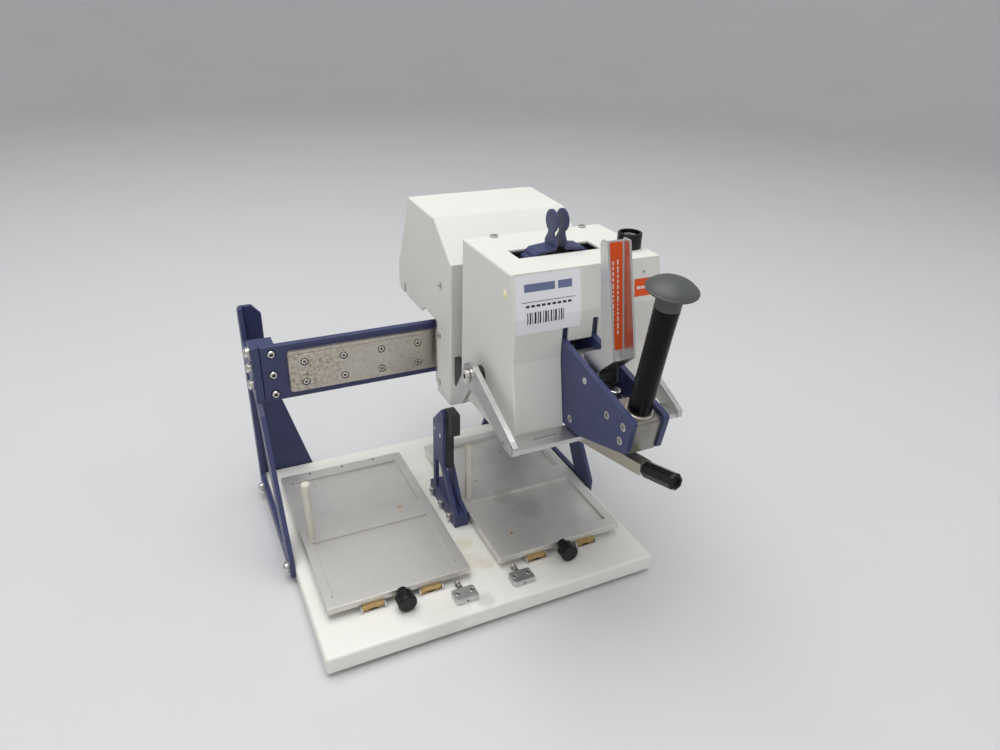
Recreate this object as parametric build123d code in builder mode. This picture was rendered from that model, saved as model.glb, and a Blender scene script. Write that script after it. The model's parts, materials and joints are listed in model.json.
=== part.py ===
"""Hand-operated 96-channel benchtop pipetting station, as an assembly.

A base plate carries two drawer trays for microplates and an upright frame with a
cross beam.  A carriage slides along the beam, the pipetting head rides up and
down on the carriage, and the plunger bracket with its handle drives the 96
pistons inside the head.  All sizes are in millimetres, +Z is up and -Y is the
side that the user stands on.
"""
from build123d import *
import math
import os

# ---------------------------------------------------------------- driving sizes
BASE_Y = 49.5                 # where the middle of the base plate sits, front to back
BASE_W, BASE_D = 356.8, 316.9
BASE_Z = (5.0, 22.4)
FOOT_R = 14.0

NEST_W, NEST_D = 128.0, 86.0            # standard microplate footprint plus play
NEST_DEPTH, NEST_PITCH = 2.8, 114.1
NEST_CORNER, NEST_RELIEF = 2.5, 1.9     # corner radius, and round relief cut in each corner
NEST_INSET, NEST_FRONT = 9.45, 14.4     # from the left and front edges of a tray
TRAY_W, TRAY_D = 147.9, 230.1
TRAY_Z = (29.5, 36.4)
TRAY_FRONT = -112.5
TRAY_LEFT = {"left": -165.2, "right": 16.0}
SLIDE_X = {"left": (-121.3, -61.2), "right": (58.3, 119.3)}
STUD_X = {"left": -33.9, "right": 29.3}
KNOB_X = {"left": -91.25, "right": 89.95}
PEG = {"left": (-155.3, -1.3, 106.8), "right": (27.6, -1.3, 109.4)}
STOP_X = (-32.9, 30.4)

SHEET = 5.0                             # thickness of the side plates
UPRIGHT_TOP = 243.0
REAR_Y = (158.6, 163.4)
BEAM_Y, BEAM_Z = (79.0, 85.0), (163.5, 227.5)
BEAM_END, PACKER_X = 174.0, 175.0       # half length of the beam, and where its end packers start
END_BLOCK_X, END_BLOCK_REAR = 158.5, 103.0
RAIL_X, RAIL_Y, RAIL_Z = (-147.5, 139.0), (74.0, 79.0), (172.5, 220.0)
RAIL_SCREW_X0, RAIL_SCREW_PITCH = -130.6, 42.1
RAIL_SCREW_Z = (182.3, 206.3)

HEAD_X = 89.45                          # middle of the head, over the right tray
WELL_PITCH, WELLS = 9.0, (12, 8)
WELL_Y = -55.1                          # middle of the well field, over the front nest
REAR_COVER_X = (12.0, 167.0)
FRONT_COVER_X = (13.1, 165.8)
SHELL = 2.0
LIFT_RAIL_X = ((52.0, 66.0), (113.0, 127.0))

PRESS_X = ((63.0, 68.0), (94.0, 99.0))  # the two plates of the plunger bracket
GUIDE_PIN = (79.0, -191.0)               # chrome pin behind the handle, (x, y)
PISTON_R, BORE_R = 2.5, 2.8
HANDLE_TILT = 9.46                      # degrees, leaning to the user
HANDLE_FOOT = (81.0, -224.0, 263.0)
LEVER_AT = (-168.0, 266.0)              # pivot of the lock lever, (y, z)
LEVER_X, LEVER_WALL = (70.5, 93.2), 2.0

PIVOT = (-63.0, 232.0)                  # pivot of the load frame, (y, z)
ARM_X = ((-1.5, 3.5), (175.4, 180.4))
KNOB_AT = (151.0, -87.0)
SCREW_END = 302.0                       # stops the piston plate after 11.5 mm
TAB_X, TAB_Z, TAB_Y = (54.0, 110.0), 345.0, (-80.5, -60.5)
TAB_PAD_X = (76.0, 87.0)

CROWN_SLOPE = 38.0                      # degrees, on the edge of a pan head

os.makedirs("parts", exist_ok=True)


# ---------------------------------------------------------------- small helpers
def at(x, y, z):
    """A point given from the middle of the base plate."""
    return (x, BASE_Y + y, z)


def xy(z):
    return Plane(origin=at(0, 0, z), x_dir=(1, 0, 0), z_dir=(0, 0, 1))


def yz(x):
    """Plane across the object at x: local axes are Y and Z, normal +X."""
    return Plane(origin=at(x, 0, 0), x_dir=(0, 1, 0), z_dir=(1, 0, 0))


def xz(y):
    """Plane facing the user at y: local axes are X and Z, normal -Y."""
    return Plane(origin=at(0, y, 0), x_dir=(1, 0, 0), z_dir=(0, -1, 0))


def mirrored(x):
    """The same distance on the other side of the head."""
    return 2 * HEAD_X - x


def box(x, y, z, mode=Mode.ADD):
    """A block between the limits x, y and z, each a (low, high) pair."""
    with Locations(at(sum(x) / 2, sum(y) / 2, sum(z) / 2)):
        Box(x[1] - x[0], y[1] - y[0], z[1] - z[0], mode=mode)


def prism(plane, points, length, mode=Mode.ADD, corner=0.0):
    """A polygon on a plane, with rounded corners if asked, pushed out."""
    with BuildSketch(plane) as outline:
        with BuildLine():
            Polyline(*points, close=True)
        make_face()
        if corner:
            fillet(outline.vertices(), radius=corner)
    extrude(outline.sketch, amount=length, mode=mode)


def rod(plane, points, radius, length, mode=Mode.ADD, taper=0.0):
    """Round bars standing on a plane; a taper in degrees narrows their far ends."""
    with BuildSketch(plane) as discs:
        with Locations(*points):
            Circle(radius)
    extrude(discs.sketch, amount=length, mode=mode, taper=taper)


def hexes(plane, points, radius, length, mode=Mode.ADD):
    """Hexagonal bars or sockets; radius is to the corners."""
    with BuildSketch(plane) as sockets:
        with Locations(*points):
            RegularPolygon(radius, 6)
    extrude(sockets.sketch, amount=length, mode=mode)


def screws(plane, points, head, shank, socket=0.0, crown=0.0):
    """Screws with their heads standing on a plane; head and shank are (r, length).

    The last part of a head, crown high, slopes in; socket is the hexagon's radius.
    """
    rod(plane, points, head[0], head[1] - crown)
    if crown:
        rod(plane.offset(head[1] - crown), points, head[0], crown, taper=CROWN_SLOPE)
    rod(plane, points, shank[0], -shank[1])
    if socket:
        hexes(plane.offset(head[1]), points, socket, -0.75 * head[1], Mode.SUBTRACT)


def drill(plane, points, radius, depth):
    """Holes going in against the plane's normal."""
    rod(plane, points, radius, -depth, Mode.SUBTRACT)


def side_face(x, side):
    """Plane on a side face, normal pointing away from the middle (side -1 or 1)."""
    return Plane(origin=at(x, 0, 0), x_dir=(0, side, 0), z_dir=(side, 0, 0))


def on_side(points, side):
    return [(side * y, z) for y, z in points]


def save(piece, name):
    piece.part.label = name
    export_step(piece.part, f"parts/{name}.step")


# ---------------------------------------------------------------- base and frame
SIDE_SCREWS = [(89.5, 182), (89.5, 202), (89.5, 219.5)]
SIDE_BOLTS = [(-13, 14), (140, 14)]
BEAM_SCREW_Z = (171.2, 194.4, 218.5)
BEAM_SCREWS = [(side * 163.2, z) for side in (-1, 1) for z in BEAM_SCREW_Z]
STOP_SCREWS = [(x + dx, -134.5) for x in STOP_X for dx in (-7.7, 7.7)]
POST_SCREWS = [(35.5, 29), (7.5, 29.6), (-19, 30.3)]


def make_base():
    half_w, half_d = BASE_W / 2, BASE_D / 2
    with BuildPart() as base_plate:
        box((-half_w, half_w), (-half_d, half_d), BASE_Z)
        fillet(base_plate.edges().filter_by(Axis.Z), radius=2.5)
        fillet(base_plate.faces().sort_by(Axis.Z)[-1].edges(), radius=3)
        for side in (-1, 1):
            drill(side_face(side * half_w, side), on_side(SIDE_BOLTS, side), 3.05, 10)
        drill(xy(BASE_Z[1]), STOP_SCREWS, 1.95, 9)
    save(base_plate, "base_plate")

    with BuildPart() as rubber_feet:
        rod(xy(0), [(x, y) for x in (-150, 150) for y in (-130, 130)], FOOT_R, BASE_Z[0])
        fillet(rubber_feet.edges().group_by(Axis.Z)[0], radius=1)
    save(rubber_feet, "rubber_feet")


def make_uprights():
    inner = BASE_W / 2
    outer = inner + SHEET
    rear, block_rear = 158.3, 104
    outline = [(-24.6, 7), (rear, 7), (rear, UPRIGHT_TOP), (154, UPRIGHT_TOP), (145, 206),
               (137, 206), (block_rear, 218), (block_rear, BEAM_Z[1]), (79.5, BEAM_Z[1]),
               (79.5, 163), (66, 155), (-24.6, 31)]
    window = [(9, 24.5), (147, 24.5), (147, 187), (92, 157)]
    for side, word in ((-1, "left"), (1, "right")):
        with BuildPart() as side_plate:
            prism(yz(side * inner), outline, side * SHEET, corner=1.5)
            prism(yz(side * (inner - 1)), window, side * (SHEET + 2), Mode.SUBTRACT, 4)
            face = side_face(side * outer, side)
            drill(face, on_side(SIDE_SCREWS + SIDE_BOLTS, side), 3.05, SHEET + 1)
        save(side_plate, f"{word}_side_plate")

    profile = [(outer, 7), (114, 7), (120, 24.8), (147, 120), (158.4, 202), (158.4, 232),
               (167.6, UPRIGHT_TOP), (outer - 3, UPRIGHT_TOP), (outer, UPRIGHT_TOP - 3)]
    with BuildPart() as rear_plates:
        for side in (-1, 1):
            prism(xz(REAR_Y[0]), [(side * x, z) for x, z in profile], REAR_Y[0] - REAR_Y[1])
    save(rear_plates, "rear_plates")

    with BuildPart() as end_blocks:
        for side in (-1, 1):
            box(sorted((side * END_BLOCK_X, side * inner)), (BEAM_Y[1], END_BLOCK_REAR), BEAM_Z)
            box(sorted((side * PACKER_X, side * inner)), (BEAM_Y[0] + 0.5, BEAM_Y[1] + 1), BEAM_Z)
            drill(side_face(side * inner, side), on_side(SIDE_SCREWS, side), 3.05, 9)
    save(end_blocks, "end_blocks")


def make_beam():
    with BuildPart() as cross_beam:
        box((-BEAM_END, BEAM_END), BEAM_Y, BEAM_Z)
        chamfer(cross_beam.faces().sort_by(Axis.Y)[0].edges(), length=0.8)
        drill(xz(BEAM_Y[0]), BEAM_SCREWS, 5.1, 1.2)
        drill(xz(BEAM_Y[0]), BEAM_SCREWS, 2.55, 5)
    save(cross_beam, "cross_beam")

    rows = [(RAIL_SCREW_X0 + i * RAIL_SCREW_PITCH, z) for i in range(7) for z in RAIL_SCREW_Z]
    groove = RAIL_Z[1] - 4.2
    with BuildPart() as beam_rail:
        box(RAIL_X, RAIL_Y, RAIL_Z)
        fillet(beam_rail.edges().filter_by(Axis.Y), radius=3)
        prism(yz(RAIL_X[0] - 1),
              [(RAIL_Y[0] - 1, groove - 1.8), (RAIL_Y[0] + 0.8, groove),
               (RAIL_Y[0] - 1, groove + 1.8)], RAIL_X[1] - RAIL_X[0] + 2, Mode.SUBTRACT)
        drill(xz(RAIL_Y[0]), rows, 4.4, 2.6)
        drill(xz(RAIL_Y[0]), rows, 1.55, 6)
    save(beam_rail, "beam_rail")

    with BuildPart() as rail_screws:
        screws(xz(RAIL_Y[0] + 2.6), rows, (3.4, 2.3), (1.5, 2.3), 1.8, crown=0.6)
    save(rail_screws, "rail_screws")

    outer = BASE_W / 2 + SHEET
    with BuildPart() as frame_screws:
        screws(xz(BEAM_Y[0] + 1.2), BEAM_SCREWS, (4.1, 3.4), (2.5, 3.4), 2.3, crown=1.2)
        for side in (-1, 1):
            face = side_face(side * outer, side)
            spots = on_side(SIDE_SCREWS + SIDE_BOLTS, side)
            rod(face, spots, 6.5, 1.2)
            screws(face.offset(1.2), spots, (5.4, 4.2), (3, SHEET + 9), 2.6, crown=1.8)
    save(frame_screws, "frame_screws")


def make_post():
    with BuildPart() as centre_post:
        box((-2, 14), (-33, 45), (BASE_Z[1], 38))
        prism(yz(-2), [(-33, 37), (-30, 42), (3.3, 83), (3.3, 147), (8.5, 154.6),
                       (33.7, 129.9), (34, 37)], 4)
        prism(yz(-3), [(-19, 40), (26.5, 40), (26.5, 81), (12.8, 81)], 6, Mode.SUBTRACT, 2)
        prism(yz(10), [(45, 30), (45, 34), (24, 40), (16, 80), (9, 80), (-14, 45),
                       (-33, 40), (-33, 30)], 4)
        drill(side_face(-2, -1), on_side(POST_SCREWS, -1), 2.05, 8)
    save(centre_post, "centre_post")

    with BuildPart() as post_pad:
        box((2, 12.4), (-11.5, 9.5), (130, 156))
        fillet(post_pad.edges().filter_by(Axis.X).group_by(Axis.Z)[-1], radius=3)
        box((2, 10.6), (1.7, 10), (80.2, 131))
    save(post_pad, "post_pad")

    with BuildPart() as stop_blocks:
        for x in STOP_X:
            box((x - 12.25, x + 12.25), (-144, -127), (BASE_Z[1], 28.9))
        fillet(stop_blocks.edges().filter_by(Axis.Z), radius=3)
        chamfer(stop_blocks.faces().filter_by(Axis.Z).group_by(Axis.Z)[-1].edges(), length=0.8)
        drill(xy(28.9), STOP_SCREWS, 2.9, 3.4)
        drill(xy(28.9), STOP_SCREWS, 1.95, 8)
        drill(xz(-144), [(x, 25.7) for x in STOP_X], 1.2, 4)
        rod(xz(-127), [(x, 26) for x in STUD_X.values()], 1.75, 6, Mode.SUBTRACT)
    save(stop_blocks, "stop_blocks")

    with BuildPart() as base_screws:
        screws(xy(25.5), STOP_SCREWS, (2.7, 3.6), (1.9, 11), 1.4, crown=0.8)
        screws(side_face(-2, -1), on_side(POST_SCREWS, -1), (4.1, 4), (2, 7), 1.9, crown=1.4)
        studs = [(x, 26) for x in STUD_X.values()]
        rod(xz(-117), studs, 1.7, 15)
        rod(xz(-117), studs, 3.2, 2.6)
        rod(xz(-117), studs, 3.2, -1.8, taper=CROWN_SLOPE)
        hexes(xz(-123), studs, 3.3, 2.8)
    save(base_screws, "base_screws")

    with BuildPart() as tray_slides:
        for x in SLIDE_X["left"] + SLIDE_X["right"]:
            box((x - 13, x + 13), (TRAY_FRONT - 4.5, TRAY_FRONT + TRAY_D), (BASE_Z[1], 28.9))
            box((x - 11, x + 11), (-120, 125), (23.6, 30), Mode.SUBTRACT)
    save(tray_slides, "tray_slides")


# ---------------------------------------------------------------- drawer trays
def make_tray(word):
    left = TRAY_LEFT[word]
    middle = left + NEST_INSET + NEST_W / 2
    nests = [TRAY_FRONT + NEST_FRONT + NEST_D / 2 + k * NEST_PITCH for k in (0, 1)]
    top = TRAY_Z[1]
    with BuildPart() as tray:
        box((left, left + TRAY_W), (TRAY_FRONT, TRAY_FRONT + TRAY_D), TRAY_Z)
        fillet(tray.edges().filter_by(Axis.Z), radius=2)
        fillet(tray.faces().sort_by(Axis.Z)[-1].edges(), radius=0.8)
        corners = [(middle + sx * (NEST_W / 2 - NEST_RELIEF / 2),
                    y + sy * (NEST_D / 2 - NEST_RELIEF / 2))
                   for y in nests for sx in (-1, 1) for sy in (-1, 1)]
        with BuildSketch(xy(top)):
            with Locations(*[(middle, y) for y in nests]):
                RectangleRounded(NEST_W, NEST_D, NEST_CORNER)
            with Locations(*corners):
                Circle(NEST_RELIEF)
        extrude(amount=-NEST_DEPTH, mode=Mode.SUBTRACT)
        if word == "left":
            drill(xy(top), [(-131.2, 113.3), (-91.8, 113.3), (-52.7, 113.8)], 1.6, 4)
        else:
            drill(xy(top), [(103.3, 72.6), (49.2, 26), (73.8, 16.6), (104.4, 38.2)], 1.6, 5)
            # a shallow outer step behind and to the right of the rear nest
            edge_x, edge_y = middle + NEST_W / 2, nests[1] + NEST_D / 2
            box((middle - NEST_W / 2, edge_x + 3.2), (edge_y + 1.6, edge_y + 3.2),
                (top - 0.9, top + 1), Mode.SUBTRACT)
            box((edge_x + 1.6, edge_x + 3.2), (nests[1] - NEST_D / 2, edge_y + 3.2),
                (top - 0.9, top + 1), Mode.SUBTRACT)
        drill(xy(top), [PEG[word][:2]], 2.05, 4)
        drill(xz(TRAY_FRONT), [(KNOB_X[word], 33)], 2.05, 8)
    save(tray, f"{word}_tray")

    with BuildPart() as runners:
        for x in SLIDE_X[word]:
            box((x - 10.7, x + 10.7), (TRAY_FRONT - 3, TRAY_FRONT + TRAY_D - 1),
                (23.9, TRAY_Z[0]))
            box((x - 4, x + 4), (-120, 125), (23, 25), Mode.SUBTRACT)
        stud = STUD_X[word]
        box((stud - 4, stud + 4), (0.6, 8.6), (23, TRAY_Z[0]))
    save(runners, f"{word}_tray_runners")

    with BuildPart() as knob:
        rod(xz(TRAY_FRONT), [(KNOB_X[word], 33)], 5.5, 9)
        rod(xz(-121), [(KNOB_X[word], 33)], 9.6, 12)
        fillet(knob.edges().filter_by(GeomType.CIRCLE).group_by(Axis.Y)[0], radius=2)
        rod(xz(TRAY_FRONT), [(KNOB_X[word], 33)], 2, -7)
    save(knob, f"{word}_tray_knob")

    x, y, high = PEG[word]
    with BuildPart() as peg:
        rod(xy(top), [(x, y)], 4, high - 10 - top)
        rod(xy(high - 11), [(x, y)], 5, 11)
        fillet(peg.edges().filter_by(GeomType.CIRCLE).group_by(Axis.Z)[-1], radius=3)
        rod(xy(top), [(x, y)], 2, -3.5)
    save(peg, f"{word}_tray_peg")


# ---------------------------------------------------------------- carriage
REAR_PROFILE = [(144, 352.8), (63.5, 350.6), (16.2, 314.8), (16.2, 152.5), (55, 152.5),
                (55, 238.6), (94, 238.6), (104, 231.5), (178, 231.5), (184, 240),
                (182, 270)]
REAR_INSIDE = [(142.7, 350.7), (64.2, 348.6), (18.2, 313.8), (18.2, 100), (182, 100),
               (182, 240), (180, 269.6)]
COVER_SCREWS = [(45, 283.6), (47.5, 225), (48.4, 166.4)]


def make_carriage():
    left, right = REAR_COVER_X
    with BuildPart() as rear_cover:
        prism(yz(left), REAR_PROFILE, right - left)
        ends = [face.edges() for face in (rear_cover.faces().sort_by(Axis.X)[0],
                                          rear_cover.faces().sort_by(Axis.X)[-1])]
        shown = [e for group in ends for e in group
                 if e.center().Z > 300 or e.center().Y < BASE_Y + 17]
        fillet(shown, radius=2.2)
        prism(yz(left + SHELL), REAR_INSIDE, right - left - 2 * SHELL, Mode.SUBTRACT)
        box((30, 149), (10, 30), (160, 300), Mode.SUBTRACT)
        box((left - 1, right + 1), (REAR_Y[0] - 1.2, REAR_Y[1] + 1.2),
            (200, UPRIGHT_TOP + 1.6), Mode.SUBTRACT)
        for side, x in ((-1, left), (1, right)):
            drill(side_face(x, side), on_side(COVER_SCREWS, side), 1.75, 3)
    save(rear_cover, "rear_cover")

    with BuildPart() as rear_cover_screws:
        for side, x in ((-1, left), (1, right)):
            screws(side_face(x, side), on_side(COVER_SCREWS, side), (3.6, 1.8), (1.7, 5), 1.6)
    save(rear_cover_screws, "rear_cover_screws")

    web = [(13, 170), (58.5, 170), (58.5, 262), (112, 282), (112, 315), (30, 315),
           (30, 298), (13, 298)]
    with BuildPart() as carriage_frame:
        box((14.2, 164.8), (58, 66), (158, 240))
        for side, x in ((-1, left + SHELL + 0.2), (1, right - SHELL - 0.2)):
            box(sorted((x, x - side * 4.5)), (40, 59), (158, 296))
            drill(side_face(x, side), on_side(COVER_SCREWS, side), 1.75, 6)
        for x in (50, 121):
            prism(yz(x), web, 8)
        box((42, 137), (6, 13.5), (168, 318))
        rod(yz(40), [(95, 300)], 5.05, 100, Mode.SUBTRACT)
    save(carriage_frame, "carriage_frame")

    upper = [(66, 205), (73.7, 205), (73.7, 220.4), (78.6, 220.4), (78.6, 226), (66, 226)]
    lower = [(66, 166.5), (78.6, 166.5), (78.6, 172.1), (73.7, 172.1), (73.7, 187), (66, 187)]
    with BuildPart() as rail_bearings:
        for x in (40, 104):
            prism(yz(x), upper, 35)
            prism(yz(x), lower, 35)
    save(rail_bearings, "rail_bearings")

    with BuildPart() as lift_rails:
        for x in LIFT_RAIL_X:
            box(x, (-2, 6), (168, 318))
            drill(xz(-2), [(sum(x) / 2, 178 + 33 * k) for k in range(5)], 2.6, 3)
    save(lift_rails, "lift_rails")

    with BuildPart() as spring_reels:
        for x in (59, 100):
            rod(yz(x), [(95, 300)], 28, 20)
            rod(yz(x - 1), [(95, 300)], 5.05, 22, Mode.SUBTRACT)
            rod(yz(x + 3), [(95, 300)], 30, 14, Mode.SUBTRACT)
            rod(yz(x + 3), [(95, 300)], 24, 14)
            rod(yz(x - 1), [(95, 300)], 5.05, 22, Mode.SUBTRACT)
    save(spring_reels, "spring_reels")

    with BuildPart() as reel_axle:
        rod(yz(46), [(95, 300)], 5, 87)
        rod(yz(44), [(95, 300)], 7, 2)
        rod(yz(133), [(95, 300)], 7, 2)
    save(reel_axle, "reel_axle")


# ---------------------------------------------------------------- pipetting head
FRONT_PROFILE = [(-12.7, 186), (-12.7, 351.4), (-117.8, 351.4), (-125.5, 312),
                 (-125.5, 270), (-139, 203.5), (-110, 186)]
FRONT_INSIDE = [(-5, 170), (-5, 349.4), (-116.15, 349.4), (-123.5, 311.8),
                (-123.5, 269.8), (-141.7, 180), (-141.7, 170)]
TOP_SCREWS = [(43.5, -17), (141.6, -17)]


def wells(radius, plane, length, mode=Mode.ADD):
    """The 12 by 8 field of channels."""
    with BuildSketch(plane) as field:
        with Locations((HEAD_X, WELL_Y)):
            with GridLocations(WELL_PITCH, WELL_PITCH, *WELLS):
                Circle(radius)
    extrude(field.sketch, amount=length, mode=mode)


GUIDE_POSTS = [(HEAD_X + 5 * sx * WELL_PITCH, WELL_Y + 3 * sy * WELL_PITCH)
               for sx in (-1, 1) for sy in (-1, 1)]


def make_head():
    left, right = FRONT_COVER_X
    wall = (PRESS_X[0][0] - 0.5, PRESS_X[0][1] + 0.5)
    other = (PRESS_X[1][0] - 0.5, PRESS_X[1][1] + 0.5)
    with BuildPart() as front_cover:
        prism(yz(left), FRONT_PROFILE, right - left)
        ends = [face.edges() for face in (front_cover.faces().sort_by(Axis.X)[0],
                                          front_cover.faces().sort_by(Axis.X)[-1])]
        shown = [e for group in ends for e in group
                 if e.center().Z > 350 or e.center().Y < BASE_Y - 120]
        fillet(shown, radius=2.4)
        prism(yz(left + SHELL), FRONT_INSIDE, right - left - 2 * SHELL, Mode.SUBTRACT)
        for gap in (wall, other):
            box(gap, (-145, -119), (180, 303.5), Mode.SUBTRACT)
        box((wall[0], other[1]), (-145, -119), (180, 284.5), Mode.SUBTRACT)
        box((38, 123), (-82, -59), (345, 355), Mode.SUBTRACT)
        drill(xy(352), [KNOB_AT], 4.4, 5)
        drill(xy(352), TOP_SCREWS, 1.75, 5)
        drill(xz(-119), [(147, 338)], 1.8, -8)
        for side, x in ((-1, left), (1, right)):
            drill(side_face(x, side), on_side([PIVOT], side), 5.2, 3)
    save(front_cover, "front_cover")

    with BuildPart() as front_cover_screws:
        screws(xy(351.4), TOP_SCREWS, (3.8, 1.8), (1.7, 8), 1.6)
    save(front_cover_screws, "front_cover_screws")

    with BuildPart() as head_chassis:
        for x in (16.5, mirrored(20.5)):
            box((x, x + 4), (-108, -14), (203, 340))
        box((16.5, mirrored(16.5)), (-20, -14), (204, 349.3))
        box((20, 28), (-94, -22), (240, 250))
        box((151, 159), (-94, -22), (240, 250))
        box((143, 159), (-95, -79), (325, 335))
        drill(xy(336), [KNOB_AT], 4.1, 20)
        drill(xy(350), TOP_SCREWS, 1.75, 9)
    save(head_chassis, "head_chassis")

    with BuildPart() as lift_bearings:
        for x in LIFT_RAIL_X:
            box((x[0] - 7, x[1] + 7), (-14, 5.7), (270, 314))
            box((x[0] - 0.3, x[1] + 0.3), (-2.3, 6), (269, 315), Mode.SUBTRACT)
    save(lift_bearings, "lift_bearings")

    with BuildPart() as guide_block:
        box((13.5, 19.8), (-12.4, 8), (183, 216))
        fillet(guide_block.edges().filter_by(Axis.X).group_by(Axis.Z)[0], radius=3)
        box((15.4, 19.8), (-14, -12), (203, 216))
    save(guide_block, "guide_block")

    with BuildPart() as cylinder_block:
        box((28, 151), (-94, -22), (205, 262))
        wells(BORE_R, xy(262), -48, Mode.SUBTRACT)
        wells(1.0, xy(262), -60, Mode.SUBTRACT)
        drill(xy(262), GUIDE_POSTS, 2.3, 60)
    save(cylinder_block, "cylinder_block")

    with BuildPart() as nozzles:
        with Locations(at(HEAD_X, WELL_Y, 196.5)):
            with GridLocations(WELL_PITCH, WELL_PITCH, *WELLS):
                Cone(2.6, 3.2, 17)
        wells(1.0, xy(187), 19, Mode.SUBTRACT)
    save(nozzles, "nozzles")

    with BuildPart() as load_hubs:
        for side, x in ((-1, left), (1, right)):
            face = side_face(x, side)
            spot = on_side([PIVOT], side)
            rod(face, spot, 8, 9.3)
            rod(face, spot, 5, -3.4)
            drill(side_face(x + side * 9.3, side), spot, 4.05, 8)
    save(load_hubs, "load_hubs")

    with BuildPart() as arm_bolts:
        for side, x in ((-1, ARM_X[0][0]), (1, ARM_X[1][1])):
            screws(side_face(x + side * 0.3, side), on_side([PIVOT], side), (7, 3.6),
                   (4, 12), 3)
    save(arm_bolts, "arm_bolts")

    with BuildPart() as tab_carriers:
        for x in TAB_X:
            for y in ((-86, -82.6), (-58.4, -55)):
                box((x - 4, x + 4), y, (339, 349.3))
            rod(xz(-55), [(x, TAB_Z)], 1.5, 31)
    save(tab_carriers, "tab_carriers")


def make_tabs():
    for word, x, pad, way in (("left", TAB_X[0], TAB_PAD_X[0], 1),
                              ("right", TAB_X[1], TAB_PAD_X[1], -1)):
        back = pad - way
        with BuildPart() as tab:
            rod(xz(TAB_Y[1]), [(x, TAB_Z)], 3.6, TAB_Y[1] - TAB_Y[0])
            prism(xz(TAB_Y[1]), [(x - way * 1.5, TAB_Z), (x + way * 2.2, TAB_Z),
                                 (x + way * 5.5, 351.8), (pad, 353.8), (pad, 356.2),
                                 (x + way * 4.6, 354.4), (x + way * 1.2, 351.6)],
                  TAB_Y[1] - TAB_Y[0])
            low, high = sorted((back, pad + way))
            prism(yz(low), [(TAB_Y[0], 354), (TAB_Y[0], 360), (-75.5, 367), (-75, 371),
                            (-66, 371), (-65.5, 367), (TAB_Y[1], 360), (TAB_Y[1], 354)],
                  high - low)
            rod(yz(low), [(-70.5, 379)], 10.5, high - low)
            rod(xz(TAB_Y[1] + 1), [(x, TAB_Z)], 1.55, 22, Mode.SUBTRACT)
        save(tab, f"{word}_tab")


def make_volume_knob():
    with BuildPart() as volume_knob:
        rod(xy(351.8), [KNOB_AT], 11.5, 14.2)
        fillet(volume_knob.edges().filter_by(GeomType.CIRCLE).group_by(Axis.Z)[-1], radius=1)
        with Locations(at(*KNOB_AT, 360)):
            with PolarLocations(11.9, 20):
                Cylinder(0.9, 20, mode=Mode.SUBTRACT)
        rod(xy(355.5), [KNOB_AT], 9.4, 20, Mode.SUBTRACT)
        rod(xy(350), [KNOB_AT], 4.02, 20, Mode.SUBTRACT)
    save(volume_knob, "volume_knob")

    with BuildPart() as volume_screw:
        rod(xy(SCREW_END), [KNOB_AT], 4, 363 - SCREW_END)
        hexes(xy(355.5), [KNOB_AT], 6.2, 8.2)
        hexes(xy(363.7), [KNOB_AT], 2.4, -3, Mode.SUBTRACT)
    save(volume_screw, "volume_screw")


# ---------------------------------------------------------------- plunger bracket
PRESS_SCREWS = [(-205, 252), (-229, 254), (-226.5, 239.5), (-148.6, 216.8)]


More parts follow.
